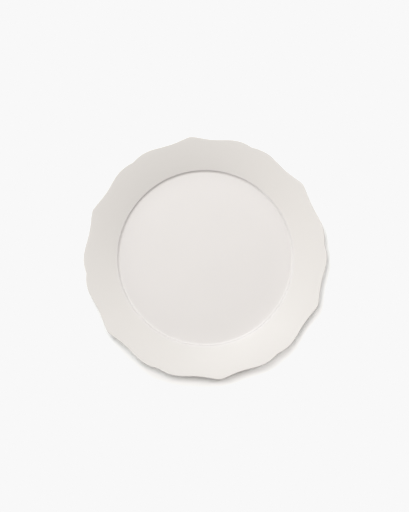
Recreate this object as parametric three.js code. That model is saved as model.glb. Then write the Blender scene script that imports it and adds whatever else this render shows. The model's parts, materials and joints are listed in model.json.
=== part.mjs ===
import * as THREE from 'three';

// Driving dimensions in millimetres, angles in degrees

// Plan of the plate: a round well inside a wide rim
const WELL_DIAMETER = 195; // across the edge where the well's wall turns into the rim
const RIM_WIDTH = 37.5; // from that edge to a point of the lip, over the glaze

// Scalloped lip
const SCALLOPS = 6; // points around the lip, with a notch midway between neighbours
const NOTCH_DEPTH = 2.5; // how far a notch lies inside the points
const LOBE_SWING = 2.2; // swing of the wave that runs from a point to a notch
const LOBE_LEAD = 0.175; // part of a turn by which that wave runs ahead, so points come out sharp
const POINT_BLUNTING = 0.003; // softening of points and notches, where 0 leaves them sharp

// Step of the well and slope of the rim
const WELL_DEPTH = 2.2; // height of the step from the floor to the start of the rim
const WALL_ANGLE = 46; // steepness of the well's wall
const WELL_FILLET = 3.2; // radius where the floor turns up into the wall
const WALL_ROUND = 0.9; // radius where the wall turns over into the rim
const RIM_SLOPE = 13; // rise of the rim beside the well
const RIM_EASING = 3.5; // how much flatter the rim is by the time it reaches a point

// Edge of the rim, measured over the glaze
const RIM_THICKNESS = 4;
const LIP_TOP_ROUND = 0.7; // radius of the crisp upper corner of the lip
const LIP_UNDER_ROUND = 1.6; // radius of its softer lower corner

// Underside and foot ring
const FLOOR_THICKNESS = 4; // glaze of the well included
const SWEEP_REACH = 11; // how far past the well's edge the underside sweeps up to meet the rim
const SWEEP_EASE = 0.33; // share of its span for which that sweep holds to the heading of each end
const FOOT_INSET = 12.5; // from the well's edge in to the foot's standing face
const FOOT_WIDTH = 3.5; // flat standing face
const FOOT_HEIGHT = 1.8;
const FOOT_SIDE_ANGLE = 64;
const FOOT_FILLET = 1.2; // radius where the foot grows out of the base
const FOOT_ROUND = 0.5; // radius beside the standing face

// Glaze
const GLAZE_THICKNESS = 0.35;

// Facets: where columns stand on the way from a point to the next notch, closer where the lip bends
const FLANK_COLUMNS = [0, 0.06, 0.2, 0.35, 0.5, 0.64, 0.745, 0.844];
const CORNER_STEPS = 2; // steps round a fillet or an edge
const RIM_STEPS = 2;
const SWEEP_STEPS = 4;

const DOWN = -Math.PI / 2; // heading of the section at the outermost line of the lip
const INWARD = -Math.PI; // heading of the section where it runs level towards the axis
const wallAngle = THREE.MathUtils.degToRad(WALL_ANGLE);
const slopeInner = THREE.MathUtils.degToRad(RIM_SLOPE);
const slopeOuter = THREE.MathUtils.degToRad(RIM_SLOPE - RIM_EASING);
const footAngle = THREE.MathUtils.degToRad(FOOT_SIDE_ANGLE);

// The clay is smaller than the finished plate by one coat of glaze
const rimStartRadius = WELL_DIAMETER / 2;
const pointRadius = rimStartRadius + RIM_WIDTH - GLAZE_THICKNESS;
const rimThickness = RIM_THICKNESS - 2 * GLAZE_THICKNESS;
const upperRound = LIP_TOP_ROUND - GLAZE_THICKNESS;
const lowerRound = LIP_UNDER_ROUND - GLAZE_THICKNESS;
const floorTop = FOOT_HEIGHT + FLOOR_THICKNESS - GLAZE_THICKNESS;

// Straight run of the well's wall between its two rounded ends, and the width of the whole step
const wallCorners = WELL_FILLET * (1 - Math.cos(wallAngle))
  + WALL_ROUND * (Math.cos(slopeInner) - Math.cos(wallAngle));
const wallLength = (WELL_DEPTH - wallCorners) / Math.sin(wallAngle);
const stepWidth = WELL_FILLET * Math.sin(wallAngle)
  + wallLength * Math.cos(wallAngle)
  + WALL_ROUND * (Math.sin(wallAngle) - Math.sin(slopeInner));

// The rim is an arc about a centre far below it, flattening from the inner to the outer slope,
// and the underside of the rim is an arc about the same centre
const rimCurve = (pointRadius - rimStartRadius - upperRound * (1 + Math.sin(slopeOuter)))
  / (Math.sin(slopeInner) - Math.sin(slopeOuter));
const rimCentreRadius = rimStartRadius + rimCurve * Math.sin(slopeInner);
const underCurve = rimCurve - rimThickness;
const sweepSlope = Math.asin((rimCentreRadius - rimStartRadius - SWEEP_REACH) / underCurve);

// Straight side of the foot ring and the width that it adds to the standing face
const footCorners = FOOT_FILLET + FOOT_ROUND;
const footSide = (FOOT_HEIGHT - footCorners * (1 - Math.cos(footAngle))) / Math.sin(footAngle);
const footRun = footCorners * Math.sin(footAngle) + footSide * Math.cos(footAngle);
const footRootRadius = rimStartRadius - FOOT_INSET + footRun;

// Distance of the lip from the axis, at an angle from a point: a steady fall with one wave on it
function outlineRadius(angle) {
  const blunting = 1 - POINT_BLUNTING;
  const start = Math.acos(blunting);
  const turned = Math.acos(blunting * Math.cos(SCALLOPS * angle));
  const along = (turned - start) / (Math.PI - 2 * start);
  const wave = Math.cos(2 * Math.PI * (along + LOBE_LEAD)) - Math.cos(2 * Math.PI * LOBE_LEAD);
  return pointRadius - NOTCH_DEPTH * along + LOBE_SWING * wave;
}

// A station is a point of the section with the heading there; the air lies to the left of it
function ahead(from, distance) {
  return {
    r: from.r + distance * Math.cos(from.heading),
    z: from.z + distance * Math.sin(from.heading),
    heading: from.heading,
  };
}

// Stations along an arc that leaves a station without a kink and ends at another heading
function arc(from, endHeading, radius, steps) {
  const side = Math.sign(endHeading - from.heading) * radius;
  const centreR = from.r - side * Math.sin(from.heading);
  const centreZ = from.z + side * Math.cos(from.heading);
  const stations = [];
  for (let i = 1; i <= steps; i += 1) {
    const heading = THREE.MathUtils.lerp(from.heading, endHeading, i / steps);
    stations.push({
      r: centreR + side * Math.sin(heading),
      z: centreZ - side * Math.cos(heading),
      heading,
    });
  }
  return stations;
}

// Stations along one S-curve that leaves a station and meets another without a kink
function sweep(from, to, steps) {
  const start = new THREE.Vector2(from.r, from.z);
  const end = new THREE.Vector2(to.r, to.z);
  const reach = SWEEP_EASE * start.distanceTo(end);
  const leave = ahead(from, reach);
  const arrive = ahead(to, -reach);
  const curve = new THREE.CubicBezierCurve(
    start,
    new THREE.Vector2(leave.r, leave.z),
    new THREE.Vector2(arrive.r, arrive.z),
    end,
  );
  const stations = [];
  for (let i = 1; i <= steps; i += 1) {
    const point = curve.getPoint(i / steps);
    const tangent = curve.getTangent(i / steps);
    stations.push({ r: point.x, z: point.y, heading: Math.atan2(tangent.y, tangent.x) });
  }
  return stations;
}

const last = (stations) => stations[stations.length - 1];

// Section of the clay at one angle, from the middle of the well over the lip to the middle of the base
function claySection(lipReach) {
  const middle = { r: 0, z: floorTop, heading: 0 };
  const floorEdge = ahead(middle, rimStartRadius - stepWidth);
  const wellCorner = arc(floorEdge, wallAngle, WELL_FILLET, CORNER_STEPS);
  const wallTop = ahead(last(wellCorner), wallLength);
  const wallEdge = arc(wallTop, slopeInner, WALL_ROUND, CORNER_STEPS);

  const upperReach = rimCurve - upperRound;
  const lowerReach = underCurve + lowerRound;
  const upperSlope = Math.asin((rimCentreRadius + upperRound - lipReach) / upperReach);
  const lowerSlope = Math.asin((rimCentreRadius + lowerRound - lipReach) / lowerReach);
  const lipSide = upperReach * Math.cos(upperSlope) - lowerReach * Math.cos(lowerSlope);
  const rim = arc(last(wallEdge), upperSlope, rimCurve, RIM_STEPS);
  const lipTop = arc(last(rim), DOWN, upperRound, CORNER_STEPS);
  const lipSideEnd = ahead(last(lipTop), lipSide);
  const lipUnder = arc(lipSideEnd, lowerSlope + INWARD, lowerRound, CORNER_STEPS);

  const underRim = arc(last(lipUnder), sweepSlope + INWARD, underCurve, 1);
  const footRoot = { r: footRootRadius, z: FOOT_HEIGHT, heading: INWARD };
  const underside = sweep(last(underRim), footRoot, SWEEP_STEPS);

  const outerFillet = arc(footRoot, INWARD + footAngle, FOOT_FILLET, CORNER_STEPS);
  const outerLine = ahead(last(outerFillet), footSide / 2);
  const outerToe = ahead(outerLine, footSide / 2);
  const outerEdge = arc(outerToe, INWARD, FOOT_ROUND, 1);
  const innerToe = ahead(last(outerEdge), FOOT_WIDTH);
  const innerEdge = arc(innerToe, INWARD - footAngle, FOOT_ROUND, 1);
  const innerLine = ahead(last(innerEdge), footSide / 2);
  const innerRoot = ahead(innerLine, footSide / 2);
  const innerFillet = arc(innerRoot, INWARD, FOOT_FILLET, CORNER_STEPS);
  const baseMiddle = { r: 0, z: FOOT_HEIGHT, heading: INWARD };

  return {
    coated: [
      middle, floorEdge, ...wellCorner, wallTop, ...wallEdge, ...rim, ...lipTop, lipSideEnd,
      ...lipUnder, ...underRim, ...underside, ...outerFillet, outerLine,
    ],
    dry: [outerToe, ...outerEdge, innerToe, ...innerEdge],
    base: [innerLine, innerRoot, ...innerFillet, baseMiddle],
  };
}

// The air side of some stations: glaze of full thickness, thinning to nothing at the given line
function glazed(stations, line) {
  return stations.map((station) => {
    const coat = station === line ? 0 : GLAZE_THICKNESS;
    return {
      r: station.r - coat * Math.sin(station.heading),
      z: station.z + coat * Math.cos(station.heading),
    };
  });
}

// A layer of glaze starts and ends on the axis: out along its air side and back along the clay
function coatSection({ coated }) {
  const line = last(coated);
  return [...glazed(coated, line), ...coated.slice(0, -1).reverse()];
}

function baseSection({ base }) {
  const line = base[0];
  return [...base.slice(1).reverse(), ...glazed(base, line)];
}

// Columns of one scallop, from a point to its notch and on to the next point
const mirrored = FLANK_COLUMNS.slice(1).reverse().map((share) => 2 - share);
const scallopColumns = [...FLANK_COLUMNS, 1, ...mirrored];

// One section of the clay per column, with a point of the lip on +Y
const columns = [];
for (let i = 0; i < SCALLOPS; i += 1) {
  for (const share of scallopColumns) {
    const angle = ((2 * i + share) * Math.PI) / SCALLOPS;
    columns.push({ turn: angle + Math.PI / 2, section: claySection(outlineRadius(angle)) });
  }
}
const columnCount = columns.length;

// Closed skin through one section per column, each running from the axis back to the axis
function loft(sectionOf) {
  const rows = columns.map(({ turn, section }) => sectionOf(section).map(({ r, z }) => (
    new THREE.Vector3(r * Math.cos(turn), r * Math.sin(turn), z)
  )));
  const rings = rows[0].length - 2;
  const points = [rows[0][0], ...rows.flatMap((row) => row.slice(1, -1)), last(rows[0])];
  const at = (column, ring) => 1 + (column % columnCount) * rings + ring;
  const bottom = points.length - 1;
  const faces = [];
  for (let i = 0; i < columnCount; i += 1) {
    faces.push(0, at(i, 0), at(i + 1, 0));
    for (let j = 0; j < rings - 1; j += 1) {
      const [a, b, c, d] = [at(i, j), at(i, j + 1), at(i + 1, j + 1), at(i + 1, j)];
      const acrossFirst = points[a].distanceTo(points[c]) <= points[b].distanceTo(points[d]);
      faces.push(...(acrossFirst ? [a, b, c, a, c, d] : [a, b, d, b, c, d]));
    }
    faces.push(at(i, rings - 1), bottom, at(i + 1, rings - 1));
  }
  const geometry = new THREE.BufferGeometry().setFromPoints(points);
  geometry.setIndex(faces);
  geometry.computeVertexNormals();
  return geometry;
}

const clay = new THREE.MeshStandardMaterial({ color: 0xd8cbb8, roughness: 0.85, metalness: 0 });
const glaze = new THREE.MeshStandardMaterial({ color: 0xe9e5e0, roughness: 0.4, metalness: 0 });

const clayBody = new THREE.Mesh(loft(({ coated, dry, base }) => [...coated, ...dry, ...base]), clay);
clayBody.name = 'clay_body';

const glazeCoat = new THREE.Mesh(loft(coatSection), glaze);
glazeCoat.name = 'glaze_coat';

const baseGlaze = new THREE.Mesh(loft(baseSection), glaze.clone());
baseGlaze.name = 'base_glaze';

const plate = new THREE.Group();
plate.name = 'plate';
plate.add(clayBody, glazeCoat, baseGlaze);

export default plate;
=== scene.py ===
# %% [markdown]
# # A glazed plate with a scalloped lip
#
# The object is a dinner plate: one pressed body of clay, a coat of satin off-white glaze over its
# face, lip and underside, and a second patch of glaze inside its foot ring. The ring stands bare on
# the table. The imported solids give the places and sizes, and this lesson makes the fine surfaces.

# %% Load the frame
import json
import math

import bpy
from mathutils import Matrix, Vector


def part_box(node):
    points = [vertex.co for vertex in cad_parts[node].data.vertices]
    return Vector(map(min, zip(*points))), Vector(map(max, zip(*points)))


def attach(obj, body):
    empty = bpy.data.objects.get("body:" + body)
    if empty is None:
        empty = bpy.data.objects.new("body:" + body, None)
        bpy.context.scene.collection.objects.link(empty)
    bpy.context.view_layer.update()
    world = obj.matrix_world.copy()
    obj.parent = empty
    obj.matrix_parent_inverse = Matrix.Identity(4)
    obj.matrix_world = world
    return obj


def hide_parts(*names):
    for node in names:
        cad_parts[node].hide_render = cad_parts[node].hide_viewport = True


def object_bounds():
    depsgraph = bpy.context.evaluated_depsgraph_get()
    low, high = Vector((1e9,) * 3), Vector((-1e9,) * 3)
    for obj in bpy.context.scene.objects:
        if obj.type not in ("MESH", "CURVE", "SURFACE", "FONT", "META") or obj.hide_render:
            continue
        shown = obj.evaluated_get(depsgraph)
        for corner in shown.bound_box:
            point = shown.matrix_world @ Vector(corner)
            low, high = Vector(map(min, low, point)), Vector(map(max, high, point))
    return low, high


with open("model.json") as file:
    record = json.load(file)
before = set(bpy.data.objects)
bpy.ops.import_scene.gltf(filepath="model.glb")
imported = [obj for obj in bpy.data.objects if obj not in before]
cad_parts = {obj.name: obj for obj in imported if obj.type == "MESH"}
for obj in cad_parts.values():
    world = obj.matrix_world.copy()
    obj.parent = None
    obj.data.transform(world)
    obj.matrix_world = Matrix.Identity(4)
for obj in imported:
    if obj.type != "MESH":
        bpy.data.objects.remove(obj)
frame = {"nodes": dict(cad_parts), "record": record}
cad_low, cad_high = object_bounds()
print("frame:", sorted(frame["nodes"]), "size in m:", [round(x, 5) for x in cad_high - cad_low])

# %% [markdown]
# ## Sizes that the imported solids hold
#
# A plate is drawn as a section, the line that a cut through its middle would show. How far that line
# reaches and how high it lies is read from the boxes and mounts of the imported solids, so what is made
# here fits them. A hair is kept free, so that nothing reaches past their box.

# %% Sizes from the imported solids
MM = 0.001
HAIR = 0.005 * MM

mounts = {mount["name"]: mount["pos_m"] for mount in frame["record"]["mounts"]}
point_radius = cad_high.y - HAIR
lobe_reach = cad_high.x - HAIR
lip_height = cad_high.z - HAIR
glaze_thickness = cad_high.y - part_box("clay_body")[1].y
base_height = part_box("base_glaze")[1].z
floor_height = mounts["well_floor"][2]
foot_radius = mounts["foot_ring"][0]
clay_point_radius = point_radius - glaze_thickness
clay_floor_height = floor_height - glaze_thickness
print("glaze in mm:", round(glaze_thickness / MM, 3), "point radius in mm:", round(point_radius / MM, 2))

# %% [markdown]
# ## A pen for sections
#
# A potter's template is straight runs and round corners, each flowing into the next. A pen that goes
# ahead, or turns along an arc until it has a new heading, draws such a line without a kink and with
# no corner to solve. Every station keeps its heading, because the glaze lies square to it.


# %% The pen
class Pen:
    """Stations of (radius, height, heading) along a section, with the air to the left of the pen."""

    def __init__(self, radius, height, heading):
        self.stations = [(radius, height, heading)]

    def ahead(self, distance, steps=1):
        radius, height, heading = self.stations[-1]
        for i in range(1, steps + 1):
            gone = distance * i / steps
            place = (radius + gone * math.cos(heading), height + gone * math.sin(heading))
            self.stations.append((*place, heading))
        return self

    def arc(self, end, curve, steps):
        radius, height, start = self.stations[-1]
        side = math.copysign(curve, end - start)
        centre = (radius - side * math.sin(start), height + side * math.cos(start))
        for i in range(1, steps + 1):
            heading = start + (end - start) * i / steps
            place = (centre[0] + side * math.sin(heading), centre[1] - side * math.cos(heading))
            self.stations.append((*place, heading))
        return self

    def sweep(self, radius, height, end, ease, steps):
        """One S-curve to a place and a heading, as a cubic with a handle at each end."""
        radius0, height0, start = self.stations[-1]
        reach = ease * math.hypot(radius - radius0, height - height0)
        handles = [
            (radius0, height0),
            (radius0 + reach * math.cos(start), height0 + reach * math.sin(start)),
            (radius - reach * math.cos(end), height - reach * math.sin(end)),
            (radius, height),
        ]
        for i in range(1, steps):
            t = i / steps
            weights = ((1 - t) ** 3, 3 * t * (1 - t) ** 2, 3 * t * t * (1 - t), t ** 3)
            slopes = (-((1 - t) ** 2), (1 - t) ** 2 - 2 * t * (1 - t), 2 * t * (1 - t) - t * t, t * t)
            place = [sum(w * h[axis] for w, h in zip(weights, handles)) for axis in (0, 1)]
            run, rise = [sum(w * h[axis] for w, h in zip(slopes, handles)) for axis in (0, 1)]
            self.stations.append((*place, math.atan2(rise, run)))
        self.stations.append((radius, height, end))
        return self

    def last(self):
        """Number of the latest station."""
        return len(self.stations) - 1


print("pen is ready")

# %% [markdown]
# ## The arc of the rim
#
# The rim rises from the edge of the well and flattens a little towards the lip. A free curve would do,
# but one long arc about a centre far below needs only its slope at each end. The lip can also slide
# along such an arc later without leaving the rim's surface.

# %% Arc of the rim
WELL_RADIUS = 98 * MM
RIM_SLOPE = math.radians(13)
POINT_SLOPE = math.radians(9.5)
LIP_TOP_ROUND = 0.7 * MM

lip_top = LIP_TOP_ROUND - glaze_thickness
rim_curve = clay_point_radius - WELL_RADIUS - lip_top * (1 + math.sin(POINT_SLOPE))
rim_curve /= math.sin(RIM_SLOPE) - math.sin(POINT_SLOPE)
rim_centre_radius = WELL_RADIUS + rim_curve * math.sin(RIM_SLOPE)
rim_centre_height = lip_height - LIP_TOP_ROUND - (rim_curve - lip_top) * math.cos(POINT_SLOPE)
print("radius of the rim's arc in mm:", round(rim_curve / MM, 1))

# %% [markdown]
# ## The step of the well
#
# The flat floor of the well turns up through a fillet into a short steep wall, and a small round turns
# the wall over onto the rim. Both corners are arcs. The straight wall between them is as long as the
# height of the step leaves it, so the corners can change without moving the floor or the rim.

# %% Step of the well
WALL_ANGLE = math.radians(62)
WELL_FILLET = 3.2 * MM
WALL_ROUND = 0.9 * MM

well_depth = rim_centre_height + rim_curve * math.cos(RIM_SLOPE) - clay_floor_height
wall_corners = WELL_FILLET * (1 - math.cos(WALL_ANGLE))
wall_corners += WALL_ROUND * (math.cos(RIM_SLOPE) - math.cos(WALL_ANGLE))
wall_length = (well_depth - wall_corners) / math.sin(WALL_ANGLE)
step_width = WELL_FILLET * math.sin(WALL_ANGLE) + wall_length * math.cos(WALL_ANGLE)
step_width += WALL_ROUND * (math.sin(WALL_ANGLE) - math.sin(RIM_SLOPE))
print("step of the well in mm:", round(well_depth / MM, 3), "by", round(step_width / MM, 3))

# %% [markdown]
# ## The lip and the underside
#
# The lip is crisp above and softer below, as a mould leaves it. The underside runs back beside the rim
# at an even thickness, on an arc about the same centre. Then it sweeps down to the base in one S-curve,
# because a plate is thickest above its foot.

# %% Lip and underside
RIM_THICKNESS = 4 * MM
LIP_UNDER_ROUND = 1.6 * MM
SWEEP_REACH = 11 * MM

lip_under = LIP_UNDER_ROUND - glaze_thickness
under_curve = rim_curve - (RIM_THICKNESS - 2 * glaze_thickness)
under_slope = math.asin((rim_centre_radius + lip_under - clay_point_radius) / (under_curve + lip_under))
lip_side = (rim_curve - lip_top) * math.cos(POINT_SLOPE)
lip_side -= (under_curve + lip_under) * math.cos(under_slope)
sweep_slope = math.asin((rim_centre_radius - WELL_RADIUS - SWEEP_REACH) / under_curve)
print("upright part of the lip in mm:", round(lip_side / MM, 3))

# %% [markdown]
# ## The foot ring
#
# A plate stands on a low ring, so that a base which warped in the kiln can't rock. The sides of the
# ring lean, its standing face is flat, and its corners are round: a fillet where it grows out of the
# base, and a smaller round beside the table. A side is as long as these corners leave it.

# %% Foot ring
FOOT_WIDTH = 3.5 * MM
FOOT_ANGLE = math.radians(64)
FOOT_FILLET = 1.2 * MM
FOOT_ROUND = 0.5 * MM

foot_corners = FOOT_FILLET + FOOT_ROUND
foot_side = (base_height - foot_corners * (1 - math.cos(FOOT_ANGLE))) / math.sin(FOOT_ANGLE)
foot_run = foot_corners * math.sin(FOOT_ANGLE) + foot_side * math.cos(FOOT_ANGLE)
foot_root = foot_radius + FOOT_WIDTH / 2 + foot_run
print("foot ring out to mm:", round(foot_root / MM, 2), "side in mm:", round(foot_side / MM, 3))

# %% [markdown]
# ## Drawing the section
#
# From the middle of the well the line runs level, turns up the wall, over onto the rim, round the
# lip, back along the underside and round the foot ring to the middle of the base. It is drawn where a
# point of the lip is, in three strokes: the face down to the line where its glaze ends, the bare foot,
# and the base.

# %% Section of the clay at a point of the lip
DOWN = -math.pi / 2
INWARD = -math.pi
FLOOR_STEPS = 6
FILLET_STEPS = 8
EDGE_STEPS = 6
RIM_STEPS = 10
LIP_EASE_STEPS = 2
LIP_TOP_STEPS = 6
LIP_UNDER_STEPS = 8
UNDERSIDE_STEPS = 8
SWEEP_STEPS = 16
SWEEP_EASE = 0.33
FOOT_STEPS = 6
STANDING_STEPS = 3

face = Pen(0, clay_floor_height, 0)
floor_end = face.ahead(WELL_RADIUS - step_width, FLOOR_STEPS).last()
wall_end = face.arc(WALL_ANGLE, WELL_FILLET, FILLET_STEPS).ahead(wall_length).last()
lip_start = face.arc(RIM_SLOPE, WALL_ROUND, EDGE_STEPS).arc(POINT_SLOPE, rim_curve, RIM_STEPS).last()
face.arc(0, lip_top, LIP_EASE_STEPS).arc(DOWN, lip_top, LIP_TOP_STEPS)
lip_end = face.ahead(lip_side).arc(under_slope + INWARD, lip_under, LIP_UNDER_STEPS).last()
face.arc(sweep_slope + INWARD, under_curve, UNDERSIDE_STEPS)
face.sweep(foot_root, base_height, INWARD, SWEEP_EASE, SWEEP_STEPS)
face.arc(INWARD + FOOT_ANGLE, FOOT_FILLET, FOOT_STEPS).ahead(foot_side / 2, FOOT_STEPS)

foot = Pen(*face.stations[-1])
foot.ahead(foot_side / 2).arc(INWARD, FOOT_ROUND, FOOT_STEPS).ahead(FOOT_WIDTH, STANDING_STEPS)
foot.arc(INWARD - FOOT_ANGLE, FOOT_ROUND, FOOT_STEPS).ahead(foot_side / 2)

base = Pen(*foot.stations[-1])
base.ahead(foot_side / 2, FOOT_STEPS).arc(INWARD, FOOT_FILLET, FOOT_STEPS)
base.ahead(base.stations[-1][0], FLOOR_STEPS)
print("stations: face", len(face.stations), "foot", len(foot.stations), "base", len(base.stations))

# %% [markdown]
# ## The coats of glaze
#
# Glaze lies on the clay as one even coat and ends in a rounded bead a little above the table, where
# the foot was wiped clean. Each coat is a closed skin: out along its air side, round the bead and
# back along the clay.


# %% Sections of the coats
BEAD_RUN = 0.6 * MM


def coat(stations):
    """The air side of a coat whose last station is the line where it ends."""
    line = stations[-1]
    outside = []
    for radius, height, heading in stations:
        left = min(1, math.hypot(radius - line[0], height - line[1]) / BEAD_RUN)
        depth = glaze_thickness * math.sqrt(1 - (1 - left) ** 2)
        outside.append((radius - depth * math.sin(heading), height + depth * math.cos(heading)))
    return outside


def plain(stations):
    return [(radius, height) for radius, height, heading in stations]


face_outside = coat(face.stations)
base_outside = coat(base.stations[::-1])[::-1]
sections = {
    "fired_clay": plain(face.stations + foot.stations[1:] + base.stations[1:]),
    "glazed_face": face_outside + plain(face.stations)[-2::-1],
    "glazed_base": plain(base.stations)[:0:-1] + base_outside,
}
print({name: len(line) for name, line in sections.items()})

# %% [markdown]
# ## A tree of nodes, written as sums
#
# Both the shape and the finishes are node trees. Wiring them socket by socket hides what they work
# out, so a small class wraps a socket, and plain arithmetic on it adds the Math nodes. One method
# adds any other node from its type, its settings and its sockets.


# %% Values and trees
class Value:
    """A socket of a node tree. Sums and products of it add Math nodes to the tree."""

    def __init__(self, tree, socket):
        self.tree = tree
        self.socket = socket

    def math(self, operation, *others):
        return self.tree.add("ShaderNodeMath", {"operation": operation}, dict(enumerate((self, *others))))

    def __add__(self, other):
        return self.math("ADD", other)

    def __sub__(self, other):
        return self.math("SUBTRACT", other)

    def __rsub__(self, other):
        return (self * -1) + other

    def __mul__(self, other):
        return self.math("MULTIPLY", other)

    def __truediv__(self, other):
        return self.math("DIVIDE", other)

    __radd__ = __add__
    __rmul__ = __mul__


class Tree:
    """A node tree under construction."""

    def __init__(self, nodes):
        self.tree = nodes

    def add(self, kind, settings=None, sockets=None, output=0):
        """A node of that type, as the Value of one of its outputs."""
        node = self.tree.nodes.new(kind)
        for name, value in (settings or {}).items():
            setattr(node, name, value)
        for key, value in (sockets or {}).items():
            named = [s for s in node.inputs if s.enabled and s.name == key]
            socket = named[0] if named else node.inputs[key]
            if isinstance(value, Value):
                self.tree.links.new(value.socket, socket)
            else:
                socket.default_value = value
        if not node.outputs:
            return node
        named = [s for s in node.outputs if s.enabled and s.name == output]
        return Value(self, named[0] if named else node.outputs[output])


print("values and trees are ready")

# %% [markdown]
# ## The outline of the lip
#
# Seen from above, the lip runs inward from each point to a notch. A wave along that way makes the dip
# beside the point and the lobe beside the notch. Points and notches are a little blunt, as glazed
# clay is. The lobes are the plate's widest place along X, where a notch lies, so its packed width says
# how far the wave swings: the least swing that reaches it at some turn between notch and point.

# %% How far the lobes swing
POINTS = 6
NOTCH_DEPTH = 2.5 * MM
LOBE_LEAD = 0.175
BLUNTING = 0.001
TRIES = 300

start = math.acos(1 - BLUNTING)
swings = []
for i in range(1, TRIES):
    from_y = math.pi / 2 - math.pi / POINTS * i / TRIES
    swung = math.acos((1 - BLUNTING) * math.cos(POINTS * from_y))
    along = (swung - start) / (math.pi - 2 * start)
    wave = math.cos(2 * math.pi * (along + LOBE_LEAD)) - math.cos(2 * math.pi * LOBE_LEAD)
    if wave > 0:
        swings.append((lobe_reach / math.sin(from_y) - point_radius + NOTCH_DEPTH * along) / wave)
lobe_swing = min(swings)
print("lobe swing in mm:", round(lobe_swing / MM, 4))

# %% [markdown]
# ## Turning the section
#
# A round plate could be a Screw modifier or a spin. Here the lip also swings in and out between six
# points and six notches, so Geometry Nodes turn the section and then slide the lip. Curve to Mesh
# gives the net of faces, and each of its points remembers its radius, its height and its turn.

# %% Inputs of the tree
COLUMNS = 480
TURNED_INPUTS = {
    "Columns": ("NodeSocketInt", COLUMNS),
    "Points": ("NodeSocketFloat", POINTS),
    "Point radius": ("NodeSocketFloat", clay_point_radius),
    "Notch depth": ("NodeSocketFloat", NOTCH_DEPTH),
    "Lobe swing": ("NodeSocketFloat", lobe_swing),
    "Lobe lead": ("NodeSocketFloat", LOBE_LEAD),
    "Blunting": ("NodeSocketFloat", BLUNTING),
    "Rim centre radius": ("NodeSocketFloat", rim_centre_radius),
    "Rim centre height": ("NodeSocketFloat", rim_centre_height),
    "Lip swing radius": ("NodeSocketFloat", rim_curve - lip_top),
    "Lip radius": ("NodeSocketFloat", lip_top),
    "Slope where the slide starts": ("NodeSocketFloat", sweep_slope),
    "Slope at a point": ("NodeSocketFloat", POINT_SLOPE),
    "Finish": ("NodeSocketMaterial", None),
}

turned = bpy.data.node_groups.new("turn_and_scallop", "GeometryNodeTree")
turned.interface.new_socket("Section", in_out="INPUT", socket_type="NodeSocketGeometry")
turned.interface.new_socket("Plate", in_out="OUTPUT", socket_type="NodeSocketGeometry")
input_ids = {}
for title, (kind, _) in TURNED_INPUTS.items():
    input_ids[title] = turned.interface.new_socket(title, in_out="INPUT", socket_type=kind).identifier

net = Tree(turned)
given = turned.nodes.new("NodeGroupInput")
size = {socket.name: Value(net, socket) for socket in given.outputs if socket.name}
print("inputs of the turning tree:", len(size))


# %% Net of faces
def keep(geometry, name, value):
    """Writes a number on each point of a curve or mesh."""
    sockets = {"Geometry": geometry, "Name": name, "Value": value}
    return net.add("GeometryNodeStoreNamedAttribute", {"data_type": "FLOAT", "domain": "POINT"}, sockets)


def kept(name):
    return net.add("GeometryNodeInputNamedAttribute", {"data_type": "FLOAT"}, {"Name": name})


def position(axis):
    place = net.add("GeometryNodeInputPosition")
    return net.add("ShaderNodeSeparateXYZ", sockets={"Vector": place}, output=axis)


section = keep(size["Section"], "run", net.add("GeometryNodeSplineParameter", output="Length"))
section = keep(section, "from_axis", position("X"))
section = keep(section, "above_table", position("Y"))
circle = net.add("GeometryNodeCurvePrimitiveCircle", sockets={"Resolution": size["Columns"], "Radius": 1.0})
circle = keep(circle, "turn", position("X").math("ARCTAN2", position("Y")))
skin = net.add("GeometryNodeCurveToMesh", sockets={"Curve": circle, "Profile Curve": section})
print("net of faces:", len(turned.nodes), "nodes so far")

# %% [markdown]
# ## Scalloping the lip
#
# The outline is worked out once more, now at every point's own turn. The rim is an arc, so the lip
# slides along it by a turn about the arc's centre. The slide fades to nothing towards the well, which
# leaves the rim as smooth as a plain turned one.

# %% Slide of the lip
start = (1 - size["Blunting"]).math("ARCCOSINE")
swung = ((1 - size["Blunting"]) * (kept("turn") * size["Points"]).math("COSINE")).math("ARCCOSINE")
along = (swung - start) / (math.pi - 2 * start)
wave = ((along + size["Lobe lead"]) * (2 * math.pi)).math("COSINE")
wave = wave - (size["Lobe lead"] * (2 * math.pi)).math("COSINE")
outline = size["Point radius"] - size["Notch depth"] * along + size["Lobe swing"] * wave
lip_slope = (size["Rim centre radius"] + size["Lip radius"] - outline) / size["Lip swing radius"]
slide = lip_slope.math("ARCSINE") - size["Slope at a point"]

inward = size["Rim centre radius"] - kept("from_axis")
upward = kept("above_table") - size["Rim centre height"]
slope = inward.math("ARCTAN2", upward)
faded_from = size["Slope where the slide starts"]
fade = (faded_from - slope) / (faded_from - size["Slope at a point"])
slope = slope + slide * fade.math("MAXIMUM", 0.0).math("MINIMUM", 1.0)
spoke = (inward * inward + upward * upward).math("SQRT")
new_radius = size["Rim centre radius"] - spoke * slope.math("SINE")
new_height = size["Rim centre height"] + spoke * slope.math("COSINE")
print("slide of the lip:", len(turned.nodes), "nodes so far")

# %% [markdown]
# ## Closing the skin
#
# Every point goes to its new place. The section starts and ends on the axis, and a coat's ends meet,
# so points that fall together are merged, which closes poles and seams. The numbers that only the tree
# needed are removed. The run along the section stays, because the finish of the glaze reads it.

# %% End of the tree
WELD = 1e-6

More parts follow.
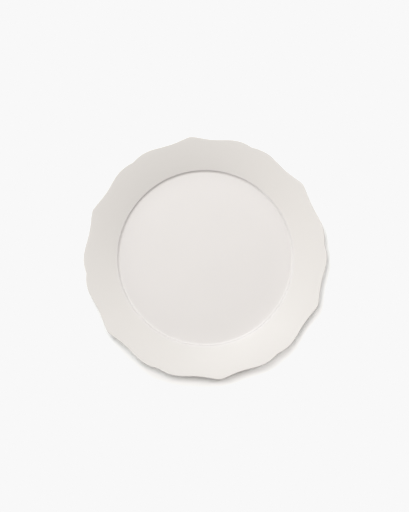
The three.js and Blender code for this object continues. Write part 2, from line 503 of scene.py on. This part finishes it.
place = net.add("ShaderNodeCombineXYZ", sockets={
    "X": new_radius * kept("turn").math("SINE"),
    "Y": new_radius * kept("turn").math("COSINE"),
    "Z": new_height,
})
skin = net.add("GeometryNodeSetPosition", sockets={"Geometry": skin, "Position": place})
skin = net.add("GeometryNodeMergeByDistance", sockets={"Geometry": skin, "Distance": WELD})
for name in ("from_axis", "above_table", "turn"):
    skin = net.add("GeometryNodeRemoveAttribute", sockets={"Geometry": skin, "Name": name})
skin = net.add("GeometryNodeSetShadeSmooth", sockets={"Geometry": skin})
skin = net.add("GeometryNodeRealizeInstances", sockets={"Geometry": skin})
skin = net.add("GeometryNodeSetMaterial", sockets={"Geometry": skin, "Material": size["Finish"]})
net.add("NodeGroupOutput", sockets={"Plate": skin})
print("turning tree:", len(turned.nodes), "nodes")

# %% [markdown]
# ## A finish
#
# A finish is a material around one Principled shader. Values that are the same all over are set on the
# shader itself, and what changes over the surface is fed to it from noise, masks and bumps.


# %% Finishes
class Finish(Tree):
    """A material under construction, around one Principled shader."""

    def __init__(self, name, **fixed):
        self.material = bpy.data.materials.new(name)
        self.material.use_nodes = True
        self.material.node_tree.nodes.clear()
        super().__init__(self.material.node_tree)
        self.shader = self.tree.nodes.new("ShaderNodeBsdfPrincipled")
        for title, value in fixed.items():
            self.shader.inputs[title.replace("_", " ")].default_value = value
        out = self.tree.nodes.new("ShaderNodeOutputMaterial")
        self.tree.links.new(self.shader.outputs["BSDF"], out.inputs["Surface"])

    def feed(self, **sockets):
        for title, value in sockets.items():
            self.tree.links.new(value.socket, self.shader.inputs[title.replace("_", " ")])

    def place(self):
        return self.add("ShaderNodeTexCoord", output="Object")

    def noise(self, scale, detail):
        sockets = {"Vector": self.place(), "Scale": scale, "Detail": detail}
        return self.add("ShaderNodeTexNoise", sockets=sockets, output="Fac")

    def blend(self, amount, first, second):
        sockets = {"Factor": amount, "A": first, "B": second}
        return self.add("ShaderNodeMix", {"data_type": "RGBA"}, sockets, "Result")

    def bump(self, height, distance, normal=None):
        sockets = {"Height": height, "Distance": distance, "Strength": 1.0}
        if normal:
            sockets["Normal"] = normal
        return self.add("ShaderNodeBump", sockets=sockets, output="Normal")

    def near(self, value, centre, width):
        """1 where a value is at the centre, fading smoothly to 0 at the width."""
        away = (value - centre).math("ABSOLUTE")
        sockets = {"Value": away, "From Min": 0.0, "From Max": width, "To Min": 1.0, "To Max": 0.0}
        return self.add("ShaderNodeMapRange", {"interpolation_type": "SMOOTHSTEP"}, sockets)

    def past(self, value, start, width):
        """0 before the start, rising smoothly to 1 over the width."""
        sockets = {"Value": value, "From Min": start, "From Max": start + width}
        return self.add("ShaderNodeMapRange", {"interpolation_type": "SMOOTHSTEP"}, sockets)


print("finishes are ready")

# %% [markdown]
# ## Where the glaze gathers and thins
#
# A coat of glaze is never even. While it melts it runs off edges, so it lies a little thinner on the
# lip and the line where it ends, and it pools in the corners, where it comes out a little lighter. At
# the foot of the well's wall that lighter pool is also a painted highlight, which lifts the bright line
# along the wall. On the rim the glaze is a little darker and warmer than in the well. The distance
# along a coat's section, which the turning tree stored on every point, says where those places are.


# %% Places along the coats
def run_lengths(line):
    """Distance along a section at each of its points."""
    runs = [0]
    for (r0, z0), (r1, z1) in zip(line, line[1:]):
        runs.append(runs[-1] + math.hypot(r1 - r0, z1 - z0))
    return runs


def halfway(runs, first, last):
    return (runs[first] + runs[last]) / 2


face_runs = run_lengths(sections["glazed_face"])
face_end = face.last()
foot_corner = face_end - FOOT_STEPS
rim_run = halfway(face_runs, wall_end, wall_end + EDGE_STEPS)
face_pools_and_highlight = [
    halfway(face_runs, floor_end, floor_end + FILLET_STEPS),
    halfway(face_runs, foot_corner - FOOT_STEPS, foot_corner),
]
face_thins = [halfway(face_runs, lip_start, lip_end), face_runs[face_end]]

base_runs = run_lengths(sections["glazed_base"])
base_start = base.last()
base_corner = base_start + FOOT_STEPS
base_pools = [halfway(base_runs, base_corner, base_corner + FOOT_STEPS)]
base_thins = [base_runs[base_start]]
print("pools in mm:", [round(run / MM, 1) for run in face_pools_and_highlight + base_pools])
print("thins in mm:", [round(run / MM, 1) for run in face_thins + base_thins])

# %% [markdown]
# ## Satin glaze
#
# The glaze is a warm off-white with a soft sheen. It is opaque, so no light has to be traced through
# it. Slow clouds shift its tone and its gloss, as they do where a coat was poured unevenly, and a fine
# ripple is the surface of glass that melted and set.

# %% Tones of the glaze
GLAZE = (0.575, 0.551, 0.541, 1)
GLAZE_COOL = (0.561, 0.539, 0.529, 1)
GLAZE_SLOPE = (0.548, 0.528, 0.508, 1)
# The pooled tone is lighter. At the foot of the well's wall it is partly a painted highlight on the wall's
# bright line.
GLAZE_POOLED_AND_HIGHLIGHT = (0.584, 0.560, 0.549, 1)
GLAZE_THIN = (0.540, 0.505, 0.473, 1)
CLOUD_SCALE = 22.0
CLOUD_DETAIL = 3.0
RIPPLE_SCALE = 190.0
RIPPLE_DETAIL = 2.0
RIPPLE_HEIGHT = 0.02 * MM
SLOPE_FADE = 3 * MM
POOL_WIDTH = 2.2 * MM
THIN_WIDTH = 2.5 * MM
print("glaze from thin to pooled:", GLAZE_THIN[:3], GLAZE_POOLED_AND_HIGHLIGHT[:3])


# %% Finish of the glaze
SLOPE_SHARE = 0.7
POOL_AND_HIGHLIGHT_SHARE = 0.6
THIN_SHARE = 0.2
THIN_MOTTLE = 0.5
SHEEN = 0.34
CLOUDED_SHEEN = 0.1
THIN_SHEEN = 0.05


def satin_glaze(name, pools, thins, slope_run=None):
    glaze = Finish(name, Specular_IOR_Level=0.5, IOR=1.5)
    run = glaze.add("ShaderNodeAttribute", {"attribute_name": "run"}, output="Fac")
    cloud = glaze.noise(CLOUD_SCALE, CLOUD_DETAIL)
    ripple = glaze.noise(RIPPLE_SCALE, RIPPLE_DETAIL)
    colour = glaze.blend(cloud, GLAZE, GLAZE_COOL)
    if slope_run:
        # Past the wall's round the glaze turns a little darker and warmer across the whole rim.
        colour = glaze.blend(SLOPE_SHARE * glaze.past(run, slope_run, SLOPE_FADE), colour, GLAZE_SLOPE)
    # Pools come out lighter. At the foot of the well's wall this is also a painted highlight that lifts the
    # wall's bright line.
    for pool in pools:
        colour = glaze.blend(POOL_AND_HIGHLIGHT_SHARE * glaze.near(run, pool, POOL_WIDTH), colour, GLAZE_POOLED_AND_HIGHLIGHT)
    roughness = SHEEN + CLOUDED_SHEEN * cloud
    for thin in thins:
        thinned = glaze.near(run, thin, THIN_WIDTH)
        colour = glaze.blend(thinned * (THIN_SHARE + THIN_MOTTLE * ripple), colour, GLAZE_THIN)
        roughness = roughness + THIN_SHEEN * thinned
    glaze.feed(Base_Color=colour, Roughness=roughness, Normal=glaze.bump(ripple, RIPPLE_HEIGHT))
    print(name, len(glaze.material.node_tree.nodes), "nodes")
    return glaze.material


face_glaze = satin_glaze("satin_glaze", face_pools_and_highlight, face_thins, rim_run)
base_glaze = satin_glaze("satin_glaze_of_base", base_pools, base_thins)

# %% [markdown]
# ## Bare clay
#
# The foot ring was wiped before firing, so its standing face shows the clay: sandy, matt and grainy,
# with the fine rings that a wet sponge leaves on a turning wheel and a few dark grains. Wave bands
# about the axis make the rings, and noises of different sizes make the tone, the grain and the specks.

# %% Grain of the clay
TONE_SCALE = 60.0
TONE_DETAIL = 4.0
GRAIN_SCALE = 1500.0
GRAIN_DETAIL = 3.0
SPECK_SCALE = 900.0
SPECK_DETAIL = 1.0
SPECK_FROM = 0.68
SPECK_FULL = 0.74
WIPE_SCALE = 500.0
WIPE_WOBBLE = 1.5

clay = Finish("bare_clay", Specular_IOR_Level=0.3)
tone = clay.noise(TONE_SCALE, TONE_DETAIL)
grain = clay.noise(GRAIN_SCALE, GRAIN_DETAIL)
dust = clay.noise(SPECK_SCALE, SPECK_DETAIL)
speck = clay.add("ShaderNodeMapRange", sockets={
    "Value": dust, "From Min": SPECK_FROM, "From Max": SPECK_FULL,
})
wiped = clay.add("ShaderNodeTexWave", {"wave_type": "RINGS", "rings_direction": "Z"}, {
    "Vector": clay.place(), "Scale": WIPE_SCALE, "Distortion": WIPE_WOBBLE,
}, "Fac")
print("grain of the clay:", len(clay.material.node_tree.nodes), "nodes")

# %% Finish of the clay
CLAY = (0.62, 0.53, 0.43, 1)
CLAY_DARK = (0.47, 0.38, 0.29, 1)
CLAY_GRAIN = (0.24, 0.18, 0.13, 1)
TONE_SHARE = 0.25
GRAIN_SHARE = 0.35
WIPE_SHARE = 0.15
CLAY_ROUGHNESS = 0.78
GRAIN_ROUGHNESS = 0.15
GRAIN_HEIGHT = 0.08 * MM
WIPE_HEIGHT = 0.03 * MM

darkened = TONE_SHARE * tone + GRAIN_SHARE * grain + WIPE_SHARE * wiped
colour = clay.blend(darkened, CLAY, CLAY_DARK)
colour = clay.blend(speck, colour, CLAY_GRAIN)
relief = clay.bump(wiped, WIPE_HEIGHT, clay.bump(grain, GRAIN_HEIGHT))
clay.feed(Base_Color=colour, Roughness=CLAY_ROUGHNESS + GRAIN_ROUGHNESS * grain, Normal=relief)
print("bare clay:", len(clay.material.node_tree.nodes), "nodes")

# %% [markdown]
# ## The three pieces
#
# Each section becomes a curve with the turning tree on it. The result is kept as a plain mesh, and
# the curve is thrown away, so what rides on the frame has no live modifier. Each piece then stands
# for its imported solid.


# %% Turn the pieces
def turn(name, finish, node):
    line = sections[name]
    curve = bpy.data.curves.new(name + "_section", "CURVE")
    curve.dimensions = "2D"
    spline = curve.splines.new("POLY")
    spline.points.add(len(line) - 1)
    for point, (radius, height) in zip(spline.points, line):
        point.co = (max(radius, 0), height, 0, 1)
    drawing = bpy.data.objects.new(name + "_section", curve)
    bpy.context.scene.collection.objects.link(drawing)
    modifier = drawing.modifiers.new("turn", "NODES")
    modifier.node_group = turned
    for title, (_, value) in TURNED_INPUTS.items():
        modifier[input_ids[title]] = finish if title == "Finish" else value
    seen = drawing.evaluated_get(bpy.context.evaluated_depsgraph_get())
    mesh = bpy.data.meshes.new_from_object(seen)
    mesh.name = name
    bpy.data.objects.remove(drawing)
    bpy.data.curves.remove(curve)
    piece = bpy.data.objects.new(name, mesh)
    bpy.context.scene.collection.objects.link(piece)
    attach(piece, "root")
    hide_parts(node)
    print(name, len(mesh.polygons), "faces, finish", [m.name for m in mesh.materials])


turn("fired_clay", clay.material, "clay_body")
turn("glazed_face", face_glaze, "glaze_coat")
turn("glazed_base", base_glaze, "base_glaze")

# %% [markdown]
# ## Floor
#
# The plate lies on plain pale paper. A round sheet under it is enough, because the room past its edge
# shows the same white.

# %% Floor
FLOOR_RADIUS = 0.8
FLOOR_SIDES = 96
FLOOR_COLOUR = (0.93, 0.93, 0.93, 1)

paper = Finish("pale_paper", Base_Color=FLOOR_COLOUR, Roughness=0.9, Specular_IOR_Level=0.1)
floor_turns = [2 * math.pi * i / FLOOR_SIDES for i in range(FLOOR_SIDES)]
floor_edge = [(FLOOR_RADIUS * math.cos(a), FLOOR_RADIUS * math.sin(a), 0) for a in floor_turns]
floor_mesh = bpy.data.meshes.new("floor")
floor_mesh.from_pydata(floor_edge, [], [range(FLOOR_SIDES)])
floor_mesh.materials.append(paper.material)
floor = bpy.data.objects.new("floor", floor_mesh)
bpy.context.scene.collection.objects.link(floor)
print("floor across in m:", 2 * FLOOR_RADIUS)

# %% [markdown]
# ## Light
#
# Rows of soft panels hang round the table, most of them over its far side. The high rows light the
# face evenly, the middle one models the rim, and the low ones shine across it and soften the shadow.
# Warm panels at the sides and a cool one ahead tint the rim as a lamp and a window would. A panel is a
# disk of light. A row is set by its tint, its strength, and in degrees how far down from straight
# above it hangs, how wide its panels look from the plate, and how far round each stands. Turns are
# counted in the picture, so the roll of the camera is added to them.


# %% Panels of light
CAMERA_ROLL = math.radians(-7.07)
PANEL_DISTANCE = 3.2
NEUTRAL = (0.985, 1, 0.995)
WARM = (1, 0.91, 0.84)
COOL = (0.85, 0.93, 1)
ROWS = [
    ("overhead", NEUTRAL, 0.61, 8, 30, (118,)),
    ("high_ahead", NEUTRAL, 0.96, 25, 20, (118,)),
    ("high_sides", WARM, 0.505, 25, 20, (28, 208)),
    ("middle", NEUTRAL, 0.495, 48, 16, (28, 73, 118, 163)),
    ("low_ahead", COOL, 0.52, 70, 18, (118,)),
    ("low_right", NEUTRAL, 0.85, 70, 18, (28,)),
    ("low_left", NEUTRAL, 0.86, 82, 14, (178, 223)),
]


def panel(name, tint, strength, tilt, width, around):
    light = bpy.data.lights.new(name, "AREA")
    light.shape = "DISK"
    light.color = tint
    light.size = 2 * PANEL_DISTANCE * math.tan(width / 2)
    light.energy = strength * math.pi * PANEL_DISTANCE ** 2
    lamp = bpy.data.objects.new(name, light)
    lamp.location = (
        PANEL_DISTANCE * math.sin(tilt) * math.cos(around),
        PANEL_DISTANCE * math.sin(tilt) * math.sin(around),
        PANEL_DISTANCE * math.cos(tilt),
    )
    lamp.rotation_euler = (0, tilt, around)
    lamp.visible_camera = False
    bpy.context.scene.collection.objects.link(lamp)


for row, tint, strength, tilt, width, turns in ROWS:
    for degrees in turns:
        around = math.radians(degrees) + CAMERA_ROLL
        panel(f"{row}_{degrees}", tint, strength, math.radians(tilt), math.radians(width), around)

# %% [markdown]
# ## The room
#
# Past the paper the room is one even white, as a studio's sweep is. It may show white without lighting
# the plate like a snow field, so the world has two strengths: the one that the camera sees, and a weak
# one for everything that the room lights. Light Path tells the two apart.

# %% Room
ROOM_SEEN = 1.2
ROOM_LIGHT = 0.005

room = bpy.data.worlds.new("room")
room.use_nodes = True
room.node_tree.nodes.clear()
air = Tree(room.node_tree)
room_white = {"Color": (1, 1, 1, 1)}
lit = air.add("ShaderNodeBackground", sockets={**room_white, "Strength": ROOM_LIGHT})
seen = air.add("ShaderNodeBackground", sockets={**room_white, "Strength": ROOM_SEEN})
by_camera = air.add("ShaderNodeLightPath", output="Is Camera Ray")
air.add("ShaderNodeOutputWorld", sockets={
    "Surface": air.add("ShaderNodeMixShader", sockets={0: by_camera, 1: lit, 2: seen}),
})
bpy.context.scene.world = room
print("room:", len(room.node_tree.nodes), "nodes")

# %% [markdown]
# ## White level
#
# A photograph of white paper is exposed until the paper runs out of range, and it comes out flat and
# even. The Standard view keeps the glaze's colours as they are lit, and a curve holds everything that
# is brighter than the paper's white at that one level.

# %% White level
WHITE = 0.9387
ALL_CHANNELS = 3

view = bpy.context.scene.view_settings
view.view_transform = "Standard"
view.use_curve_mapping = True
levels = view.curve_mapping
levels.extend = "HORIZONTAL"
level = levels.curves[ALL_CHANNELS]
level.points[0].location = (0, 0)
level.points[1].location = (1, WHITE)
level.points.new(WHITE, WHITE)
for point in level.points:
    point.handle_type = "VECTOR"
levels.update()
print("white level:", [tuple(round(x, 3) for x in point.location) for point in level.points])

# %% [markdown]
# ## Camera
#
# The view is straight down, through a long lens from more than a metre up, so the rim hides nothing
# of itself. The plate lies turned by a few degrees in the picture, which a roll of the camera gives.

# %% Camera
PICTURE_HEIGHT_PX = 512
PLATE_WIDTH_PX = 245.1
PLATE_RIGHT_PX = 0.80
PLATE_DOWN_PX = 2.14
LENS_MM = 95
SENSOR_MM = 36

pixel = 2 * point_radius / PLATE_WIDTH_PX
distance = pixel * PICTURE_HEIGHT_PX * LENS_MM / SENSOR_MM
camera = bpy.data.cameras.new("camera")
camera.lens = LENS_MM
camera.sensor_width = SENSOR_MM
eye = bpy.data.objects.new("camera", camera)
across = -PLATE_RIGHT_PX * pixel
up = PLATE_DOWN_PX * pixel
eye.location = (
    across * math.cos(CAMERA_ROLL) - up * math.sin(CAMERA_ROLL),
    across * math.sin(CAMERA_ROLL) + up * math.cos(CAMERA_ROLL),
    cad_high.z + distance,
)
eye.rotation_euler = (0, 0, CAMERA_ROLL)
bpy.context.scene.collection.objects.link(eye)
bpy.context.scene.camera = eye
print("camera distance in m:", round(distance, 3), "picture scale in mm per px:", round(pixel / MM, 4))
